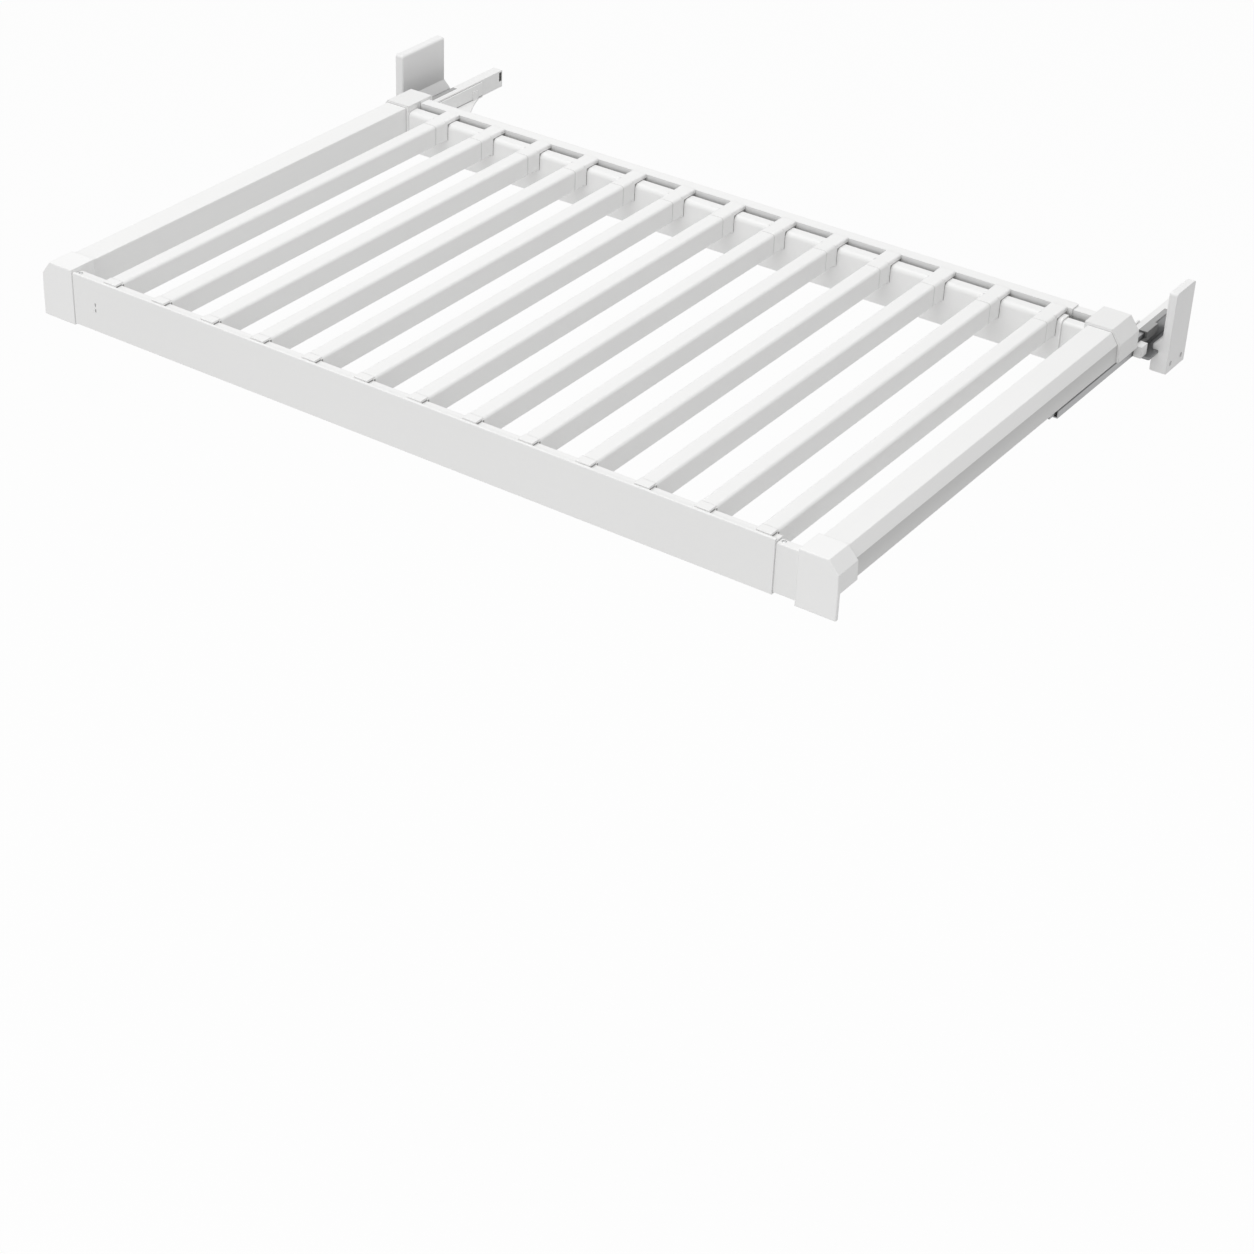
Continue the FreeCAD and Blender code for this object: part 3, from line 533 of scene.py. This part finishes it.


# %% [markdown]
# ### Steel clip and pocket of the housings
#
# A steel clip is let in flush with each long housing where it passes its bracket. It has
# the shape of the plastic round it, so it needs no mesh of its own, only its colour; its
# side is painted darker than its top, as painted shade. The housing's rear end has a pocket
# in its side, and the inside of the pocket is painted dark: painted shade.


# %% Housings
housing_faces = reach("damper_housing_left", X)[1], reach("damper_housing_right", X)[0]
clip_start, clip_end, clip_in = rack_end + 0.0145, 0.01, 0.0055
clip_level = reach("damper_housing_left", Z)[1] - 0.0004
# The darker grey of the clip's side is painted shade.
clip_top, clip_side_shade = (0.38, 0.38, 0.38), (0.15, 0.15, 0.15)
print("steel clips from y", round(clip_start, 4), "to", clip_end)


def steel_clip(finish):
    """1 on the outer side of the housings beside the brackets, where the clip is let in."""
    left = inside(finish, (0.0, clip_start, 0.0), (housing_faces[0] - clip_in, clip_end, 0.1))
    return left + inside(finish, (housing_faces[1] + clip_in, clip_start, 0.0),
                         (1.0, clip_end, 0.1))


# Painted shade: the inside of each pocket is painted dark.
def end_pockets(finish):
    """1 inside the pocket at the rear end of each housing."""
    mask = 0.0
    for face, outwards, node in ((housing_faces[0], -1, "damper_housing_left"),
                                 (housing_faces[1], 1, "damper_housing_right")):
        rear, top = reach(node, Y)[1], reach(node, Z)[1]
        across = sorted((face + outwards * 0.0002, face + outwards * 0.0088))
        mask = mask + inside(finish, (across[0], rear - 0.0049, top - 0.0105),
                             (across[1], rear - 0.0007, top - 0.0013))
    return mask


# %% [markdown]
# ### Brackets and gussets
#
# The brackets' inner faces are painted darker towards the foot, where the upright plate
# runs out into it: painted shade. A gusset is folded from sheet steel, and the inside of
# the fold is painted with a dark line: painted shade.


# %% Brackets and gussets
rack_centre, plate_face = reach("side_bracket_right", X)[1] / 2, 0.0078
bracket_front = reach("side_bracket_left", Y)[0]
sheet = 0.0016
folds = reach("rear_gusset_left", X)[0] + sheet, reach("rear_gusset_right", X)[1] - sheet
print("folds at x", [round(fold, 4) for fold in folds])


def foot_painted_shade(finish):
    """Painted shade that grows from 0 at z 40 mm to 0.26 at 16 mm, on the brackets' inner faces
    only.
    """
    inner = (axis_of(finish, X) - rack_centre).size().below(rack_centre - plate_face)
    inner = inner * axis_of(finish, Y).above(bracket_front + 0.0006)
    return inner * fade(finish, Z, 0.04, 0.016) * 0.26


def fold_painted_shade(finish):
    """Painted shade: a dark line in the fold between each gusset's web and flange."""
    upright = sum(line_at(finish, X, fold, 0.0009) for fold in folds)
    return upright * line_at(finish, Z, slide_bottom + sheet, 0.0009)


# %% [markdown]
# ## Powder coat on extruded aluminium
#
# The rails and rods are extruded, cut, and sprayed with a dry white powder that melts to
# a film of about a tenth of a millimetre in the oven. The film draws up into a faint
# orange peel, with cells about a millimetre across, and the lines that the die left show
# through it very faintly along the length. The white isn't quite even either: it goes a
# little warmer and cooler over a hand's width. An image of paint would do it, but noise
# in metres needs no unwrapping and never repeats.


# %% Powder coat
coat_low, coat_high = white(0.893), white(0.925)
mask_depth = 0.75


def powder_coat(name, along, joints):
    """White powder coat; along is the axis the extrusion runs in, joints a mask function of dark
    joint lines and painted shade.
    """
    finish = Finish(name, IOR=1.5, Specular_IOR_Level=0.45)
    still = place(finish)
    drawn = place(finish, along, 0.004)
    peel = noise(finish, still, 850.0, 1.5)
    pits = noise(finish, still, 3200.0, 1.0)
    die_lines = noise(finish, drawn, 620.0, 3.0, 0.65)
    cloud = noise(finish, still, 7.0, 3.0)
    colour = between(finish, cloud * 0.7 + die_lines * 0.3, coat_low, coat_high)
    finish.drive("Base Color", shaded(finish, joints(finish), colour, mask_depth))
    finish.drive("Roughness", 0.31 + peel * 0.08 + die_lines * 0.06 + cloud * 0.05)
    finish.drive("Normal", relief(finish, peel + pits * 0.2 + die_lines * 0.35, 0.00004, 0.0006))
    return finish.material


finishes = {name: powder_coat(name, along, joints) for name, along, joints in (
    ("cross_rail_coat", X, cross_rail_joints_and_shade),
    ("telescope_coat", X, telescope_joints_and_shade),
    ("long_rail_coat", Y, long_rail_joints_and_shade),
    ("rod_coat", Y, rod_joints),
    ("gusset_coat", Y, fold_painted_shade))}
print("powder coats:", sorted(finishes))

# %% [markdown]
# ## Moulded white plastic
#
# Corners, clips, rod holders, housings and brackets are injection moulded. The mould is
# spark eroded, which prints a fine even grain of a third of a millimetre, and the plastic
# flows and shrinks, so broad faces are never quite flat and go slightly glossier where
# the wall behind is thin. Two scales of bump do this: the grain, and a swell a few
# centimetres long and less than a tenth of a millimetre high. The parts come from several
# moulds and batches, so each family has a white of its own.


# %% Moulded plastic
def moulded_plastic(name, low, high, gloss, joints=None, clip=None):
    """White plastic with spark-eroded grain; gloss is its lowest roughness."""
    finish = Finish(name, IOR=1.53, Specular_IOR_Level=0.5)
    still = place(finish)
    grain = noise(finish, still, 2600.0, 2.0, 0.6)
    swell = noise(finish, still, 38.0, 1.0)
    cloud = noise(finish, still, 11.0, 2.0)
    colour = between(finish, cloud * 0.8 + grain * 0.2, low, high)
    # Each plastic's mask is painted shade.
    if joints:
        colour = shaded(finish, joints(finish), colour, mask_depth)
    if clip:
        covered = clip(finish)
        # The clip's side is painted darker than its top: painted shade.
        on_its_side = covered * axis_of(finish, Z).below(clip_level)
        colour = shaded(finish, covered, colour, 1.0, clip_top)
        colour = shaded(finish, on_its_side, colour, 1.0, clip_side_shade)
    finish.drive("Base Color", colour)
    finish.drive("Roughness", gloss + grain * 0.1 + swell * 0.08)
    finish.drive("Normal", relief(finish, grain * 0.16 + swell, 0.00009, 0.0008))
    return finish.material


for name, low, high, gloss, *masks in (
        ("corner_plastic", white(0.93, 0.002), white(0.955, 0.002), 0.3),
        ("fitting_plastic", white(0.885), white(0.92), 0.34, inside_hooks),
        ("clip_plastic", white(0.885), white(0.92), 0.34, beside_clips),
        ("rear_corner_plastic", white(0.845), white(0.875), 0.33),
        ("bracket_plastic", white(0.885, 0.0), white(0.915, 0.0), 0.38, foot_painted_shade),
        ("damper_plastic", white(0.88, 0.002), white(0.91, 0.002), 0.4, end_pockets, steel_clip)):
    finishes[name] = moulded_plastic(name, low, high, gloss, *masks)
print("plastics:", sorted(name for name in finishes if name.endswith("plastic")))

# %% [markdown]
# ## Zinc-plated steel
#
# The slide members are rolled from strip, and rolling leaves fine lines along them that
# spread a highlight sideways. Zinc adds a faint spangle and a cast that goes from blue
# to straw. An anisotropic shader would spread the highlight too, but it needs tangents,
# so the lines are real relief here: noise a hundred times longer than it is wide.


# %% Plated steel
# The dark grey that the painted shade on the slides goes towards.
dark_shade = (0.045, 0.045, 0.046)


def plated_steel(name, along, low, high, gloss, joints=None):
    """Zinc-plated steel with rolling lines along one axis."""
    finish = Finish(name, Metallic=1.0)
    still = place(finish)
    rolled = place(finish, along, 0.01)
    lines = noise(finish, rolled, 1500.0, 4.0, 0.7)
    spangle = noise(finish, still, 240.0, 2.0)
    cast = noise(finish, still, 22.0, 2.0)
    colour = between(finish, lines * 0.45 + spangle * 0.2 + cast * 0.35, low, high)
    # On the slides this mask is painted shade.
    if joints:
        colour = shaded(finish, joints(finish), colour, mask_depth, dark_shade)
    finish.drive("Base Color", colour)
    finish.drive("Roughness", gloss + lines * 0.14 + cast * 0.08)
    finish.drive("Normal", relief(finish, lines + spangle * 0.3, 0.00003))
    return finish.material


for name, along, low, high, gloss, *masks in (
        ("slide_steel", Y, (0.34, 0.345, 0.355), (0.47, 0.47, 0.47), 0.3, slide_dark_shade),
        ("cage_steel", Y, (0.32, 0.33, 0.35), (0.46, 0.46, 0.455), 0.26),
        ("strip_steel", Y, (0.2, 0.205, 0.215), (0.32, 0.32, 0.318), 0.32),
        ("screw_steel", Z, (0.44, 0.45, 0.47), (0.6, 0.6, 0.59), 0.24)):
    finishes[name] = plated_steel(name, along, low, high, gloss, *masks)
print("steels:", sorted(name for name in finishes if name.endswith("steel")))

# %% [markdown]
# ## Dressing the frame
#
# Each part of the imported model names the slot that its finish comes from. The rails'
# slot is split here, because the front and back rails were extruded across the rack and
# the side rails along it, and the die lines have to follow. The telescopic rails carry
# no rod holders, so they have no painted shade under holders.


# %% Give every CAD part its finish
def finish_for(node, slot):
    """The finish of a CAD node, from its slot and the way it was extruded."""
    if slot == "rail_coat" and node.startswith("side_rail"):
        return finishes["long_rail_coat"]
    if slot == "rail_coat":
        return finishes["telescope_coat" if node.endswith("inner") else "cross_rail_coat"]
    if node == "rod_front_clips":
        return finishes["clip_plastic"]
    if node.startswith("rear_corner"):
        return finishes["rear_corner_plastic"]
    return finishes[slot]


for subpart in frame["record"]["subparts"]:
    part = frame["nodes"][subpart["node"]]
    part.data.materials.clear()
    part.data.materials.append(finish_for(subpart["node"], subpart["material_slot"]))

# %% [markdown]
# ## Screws
#
# The plain screws of the model are a disc on a rod. A real one has a low dome with a
# cross cut in it, and a thread. Both are a change of radius or height on a surface of
# revolution, so a whole screw is one function of two parameters: how far along the
# outline, and how far round. Cutting the cross with a boolean would cost more and leave
# long thin faces.


# %% Skins
def skin(rings, first, last):
    """Closes rings of points to a skin: quads between rings, and a fan at each end.

    rings is an array (ring, step round, 3); first and last are the two end points.
    Ring r holds the points r x steps + step, and the end points come after all rings.
    The corners of each face are in the order that turns it outwards.
    """
    count, steps = rings.shape[:2]
    points = np.concatenate([rings.reshape(-1, 3), [first, last]])
    start = np.arange(count - 1)[:, None] * steps
    here = np.arange(steps)
    there = np.roll(here, -1)
    quads = np.stack([start + here, start + steps + here, start + steps + there, start + there], -1)
    last_start = (count - 1) * steps
    top = np.stack([np.full(steps, count * steps), here, there], -1)
    tip = np.stack([np.full(steps, count * steps + 1), last_start + there, last_start + here], -1)
    return points, (quads.reshape(-1, 4), top, tip)


def piece_from(name, skins, material, body, replaced):
    """Joins several skins in one mesh object that rides on a body."""
    faces, start = [], 0
    for points, blocks in skins:
        for block in blocks:
            faces += (block + start).tolist()
        start += len(points)
    mesh = bpy.data.meshes.new(name)
    mesh.from_pydata(np.concatenate([points for points, _ in skins]).tolist(), [], faces)
    mesh.materials.append(material)
    mesh.shade_smooth()
    piece = bpy.data.objects.new(name, mesh)
    bpy.context.scene.collection.objects.link(piece)
    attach(piece, body)
    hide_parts(replaced)
    print(name, len(mesh.vertices), "points,", len(mesh.polygons), "faces, rides on", body)
    return piece


# %% [markdown]
# ### The outline and the cross
#
# Along the outline go the crown, the rim, the underside of the head and the shank. The
# crown's height falls with the square of the radius. The cross is two soft-edged bars:
# a point is inside a bar where it lies near that bar's axis, and the cut is as deep as
# the bar is high there. The thread takes the shank's radius down and up again once for
# each pitch, and one turn further round moves it by a whole pitch, which is a helix.


# %% Parts of a screw
def soft_step(value, edge, width):
    """0 below edge - width, 1 above edge + width, and a smooth S between: t^2 (3 - 2 t)."""
    t = np.clip((value - edge + width) / (2 * width), 0.0, 1.0)
    return t * t * (3 - 2 * t)


def crown_of(turn, radius, height, crossed):
    """Radii and heights of the crown: H (1 - 0.5 (r / R)^2), less the cross."""
    crown = np.linspace(0.06, 1.0, 15)[:, None] * radius + 0 * turn
    rise = height * (1 - 0.5 * (crown / radius) ** 2)
    bars = np.maximum(*(1 - soft_step(abs(crown * wave(turn)), 0.13 * radius, 0.06 * radius)
                        for wave in (np.cos, np.sin)))
    cut_reach = 1 - soft_step(crown, 0.5 * radius, 0.12 * radius)
    return crown, rise - (0.55 * height * bars * cut_reach if crossed else 0)


def shank_of(turn, radius, length, pitch):
    """Radii and depths of the shank: R less a ridge wave of (depth / pitch + turn)."""
    rows = max(int(length / pitch * 6), 4) if pitch else 4
    depth = np.linspace(0.0, length, rows)[:, None]
    wave = 0 * depth
    if pitch:
        wave = abs((depth / pitch + turn / (2 * np.pi)) % 1.0 - 0.5) * 2
    taper = np.clip((length - depth) / radius, 0.35, 1.0)
    return (radius - 0.24 * radius * wave) * taper + 0 * turn, depth + 0 * turn


print("crown and shank ready")

# %% [markdown]
# ### Setting it up in the rack
#
# The outline is worked out in a frame of its own, with the underside of the head at
# height 0. Three axes at right angles carry it to its place: the screw's own one, one
# across it, and the product of the two.


# %% One screw
def screw_skin(head, axis, head_size, shank_size, pitch=0.0, crossed=True):
    """A screw or rivet in millimetres, as rings round its axis.

    head is the middle of the head's underside and axis points down the shank.
    head_size and shank_size are (radius, height) and (radius, length).
    A point lies at head + r cos(turn) side - r sin(turn) across - height axis.
    """
    turn = np.linspace(0, 2 * np.pi, 40, endpoint=False)[None, :]
    crown, rise = crown_of(turn, *head_size, crossed)
    shank, depth = shank_of(turn, *shank_size, pitch)
    under = 0 * turn
    radii = np.concatenate([crown, under + head_size[0], shank])
    levels = np.concatenate([rise, under, -depth])
    axis = Vector(axis).normalized()
    side = axis.orthogonal().normalized()
    own_axes = np.array([side, -axis.cross(side), -axis])
    rings = np.stack([radii * np.cos(turn), radii * np.sin(turn), levels], -1)
    centre = head_size[1] * (0.45 if crossed else 1.0)
    ends = np.array([[0, 0, centre], [0, 0, -shank_size[1]]])
    rings, ends = ((points @ own_axes + np.array(head)) / 1000 for points in (rings, ends))
    return skin(rings, *ends)


print("screw outline ready")

# %% [markdown]
# ### Telling the plain screws apart
#
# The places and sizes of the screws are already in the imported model, so they are read
# from it instead of written twice. One part holds several screws in one mesh. Points that
# share a place are welded, and then the smallest number in reach is passed along the
# edges until each screw has one number. Blender's Separate by Loose Parts does the same,
# but it would change the frame.


# %% Separate solids
def solids_of(node):
    """The points of each separate solid of a CAD node, in millimetres."""
    mesh = frame["nodes"][node].data
    points = np.empty(len(mesh.vertices) * 3)
    mesh.vertices.foreach_get("co", points)
    points = points.reshape(-1, 3) * 1000
    ends = np.empty(len(mesh.edges) * 2, dtype=int)
    mesh.edges.foreach_get("vertices", ends)
    welded = np.unique(points.round(2), axis=0, return_inverse=True)[1].ravel()
    ends = welded[ends].reshape(-1, 2)
    label, spread = None, np.arange(welded.max() + 1)
    while label is None or (spread != label).any():
        label = spread.copy()
        np.minimum.at(spread, ends[:, 0], label[ends[:, 1]])
        np.minimum.at(spread, ends[:, 1], label[ends[:, 0]])
    return [points[label[welded] == number] for number in np.unique(label)]


print("solids in frame_screws_left:", len(solids_of("frame_screws_left")))

# %% [markdown]
# ### Measuring them
#
# A turned solid has two equal extents, and the third one is its axis. Its widest rims are
# the head's, and they tell which end the head is at. The rim at the far end is the
# shank's. That is all that a new screw needs to stand exactly where the plain one did.


# %% Measured screws
def measured(points):
    """Middle of the head's underside, axis, (head radius, height), (shank radius, length)."""
    low, high = points.min(axis=0), points.max(axis=0)
    extent, middle = high - low, (low + high) / 2
    axis = int(abs(extent - np.median(extent)).argmax())
    flat = points - middle
    along = flat[:, axis].copy()
    flat[:, axis] = 0
    away = np.linalg.norm(flat, axis=1)
    head = along[away > 0.9 * away.max()]
    side = 1.0 if head.mean() > 0 else -1.0
    head_height = head.max() - head.min()
    shank_radius = away[along * side < -0.4 * extent[axis]].max()
    direction = np.zeros(3)
    direction[axis] = -side
    underside = middle - direction * (extent[axis] / 2 - head_height)
    length = extent[axis] - head_height
    return underside, direction, (away.max(), head_height), (shank_radius, length)


def fine_screws(node, shortest):
    """The skins that take a node's place; shanks under shortest are rivets, the rest screws."""
    skins = []
    for head, axis, head_size, shank_size in map(measured, solids_of(node)):
        is_screw = shank_size[1] > shortest
        pitch = 0.75 * shank_size[0] if is_screw else 0.0
        skins.append(screw_skin(head, axis, head_size, shank_size, pitch, is_screw))
        print(node, "screw" if is_screw else "rivet", head.round(1).tolist(),
              "head radius", round(head_size[0], 2), "length", round(shank_size[1], 2))
    return skins


print("measuring ready")

# %% [markdown]
# ### Which screws hold what
#
# Two small self-tapping screws hold the front rail's ledge, two larger ones clamp the
# telescopic rails from below, and the gussets are screwed up into the back rail. One
# screw clamps each steel strip in its bracket, and two rivets hold it under the slide.

# %% All the screws
for name, node, body, shortest in (
        ("crossed_screws_left", "frame_screws_left", "rack", 0.0),
        ("crossed_screws_right", "frame_screws_right", "rack_right", 0.0),
        ("clamp_screw_and_rivets_left", "bracket_screws_left", "cabinet_left", 5.0),
        ("clamp_screw_and_rivets_right", "bracket_screws_right", "cabinet_right", 5.0)):
    skins = fine_screws(node, shortest)
    piece_from(name, skins, finishes["screw_steel"], body, node)

# %% [markdown]
# ## Floor
#
# The rack hangs in a wardrobe, so it floats over a floor that is as far below as it would
# be there.

# %% Floor
floor_mesh = bpy.data.meshes.new("studio_floor")
floor_reach, floor_level = 30.0, -0.9
floor_mesh.from_pydata([(x * floor_reach, y * floor_reach, floor_level)
                        for x, y in ((-1, -1), (1, -1), (1, 1), (-1, 1))], [], [(0, 1, 2, 3)])
floor = bpy.data.objects.new("studio_floor", floor_mesh)
bpy.context.scene.collection.objects.link(floor)
print("floor at", floor_level, "m")

# %% [markdown]
# ### Finish of the floor
#
# A white floor lit like everything else comes out a little grey. Making the lamps
# stronger would burn the rack out, so the floor mixes its own shading with a plain white
# that only the camera and mirrors see: it looks white and still takes the shadow. From
# below it is clear, so that the underside of the rack can be looked at.

# %% Finish of the floor
white_light = (1.0, 1.0, 1.0, 1.0)
floor_finish = Finish("studio_floor", Base_Color=(0.86, 0.86, 0.86, 1.0), Roughness=0.9,
                      Specular_IOR_Level=0.1)
seen = floor_finish.node("ShaderNodeLightPath", output="Is Camera Ray")
seen = seen + floor_finish.node("ShaderNodeLightPath", output="Is Glossy Ray")
own_shading = Value(floor_finish, floor_finish.shader.outputs[0])
glow = floor_finish.node("ShaderNodeEmission", None, {"Color": white_light, "Strength": 1.0})
white_part = floor_finish.node("ShaderNodeMixShader", None,
                               {0: seen * 0.95, 1: own_shading, 2: glow})
below = floor_finish.node("ShaderNodeNewGeometry", output="Backfacing")
clear = floor_finish.node("ShaderNodeBsdfTransparent")
floor_finish.show(floor_finish.node("ShaderNodeMixShader", None,
                                    {0: below, 1: white_part, 2: clear}))
floor_mesh.materials.append(floor_finish.material)
print("floor finish", floor_finish.material.name)

# %% [markdown]
# ## Light
#
# A white object is modelled by the difference between its planes: the tops are brightest,
# the front is a step down, and the undersides are darker still. An even world gives every
# plane the same base, at about half strength. The camera and mirrors see it as plain
# white, whatever light it gives, because the backdrop has to stay clean.

# %% World
world = bpy.data.worlds.new("studio")
bpy.context.scene.world = world
world.use_nodes = True
sky = Shading(world.node_tree, "ShaderNodeOutputWorld")
looked_at = sky.node("ShaderNodeLightPath", output="Is Camera Ray")
for ray in ("Is Glossy Ray", "Is Transmission Ray"):
    looked_at = looked_at.or_larger(sky.node("ShaderNodeLightPath", output=ray))
even_light = sky.node("ShaderNodeBackground", None,
                      {"Color": (1.0, 0.998, 0.994, 1.0), "Strength": 0.55})
backdrop = sky.node("ShaderNodeBackground", None, {"Color": white_light, "Strength": 1.0})
sky.show(sky.node("ShaderNodeMixShader", None, {0: looked_at, 1: even_light, 2: backdrop}))
print("world", world.name)

# %% [markdown]
# ### Lamps
#
# One large lamp overhead adds to the tops and gives soft contact shadows, and a weak one
# from the front keeps the front and the side facets apart. A lamp's shadow is as soft as
# the lamp is large for what it lights, so both are wider than the rack. Together with the
# world they light a plane that faces up about as brightly as its colour is written.


# %% Lamps
def lamp(name, place_of_lamp, aim, size, power):
    """A square area lamp that looks at a point."""
    data = bpy.data.lights.new(name, "AREA")
    data.shape = "SQUARE"
    data.size = size
    data.energy = power
    light = bpy.data.objects.new(name, data)
    bpy.context.scene.collection.objects.link(light)
    light.location = place_of_lamp
    towards = Vector(aim) - Vector(place_of_lamp)
    light.rotation_euler = towards.to_track_quat("-Z", "Y").to_euler()
    print(name, "size", size, "m, power", power, "W")


rack_middle = (0.41, -0.3, 0.03)
lamp("overhead", (0.1, -0.1, 2.6), rack_middle, 2.4, 31.0)
lamp("front_fill", (0.45, -3.2, 1.2), rack_middle, 1.6, 19.0)

# %% [markdown]
# ## Colour
#
# The Standard view transform shows a colour as it is written, and the other settings stay
# as they come.

# %% View transform
bpy.context.scene.view_settings.view_transform = "Standard"
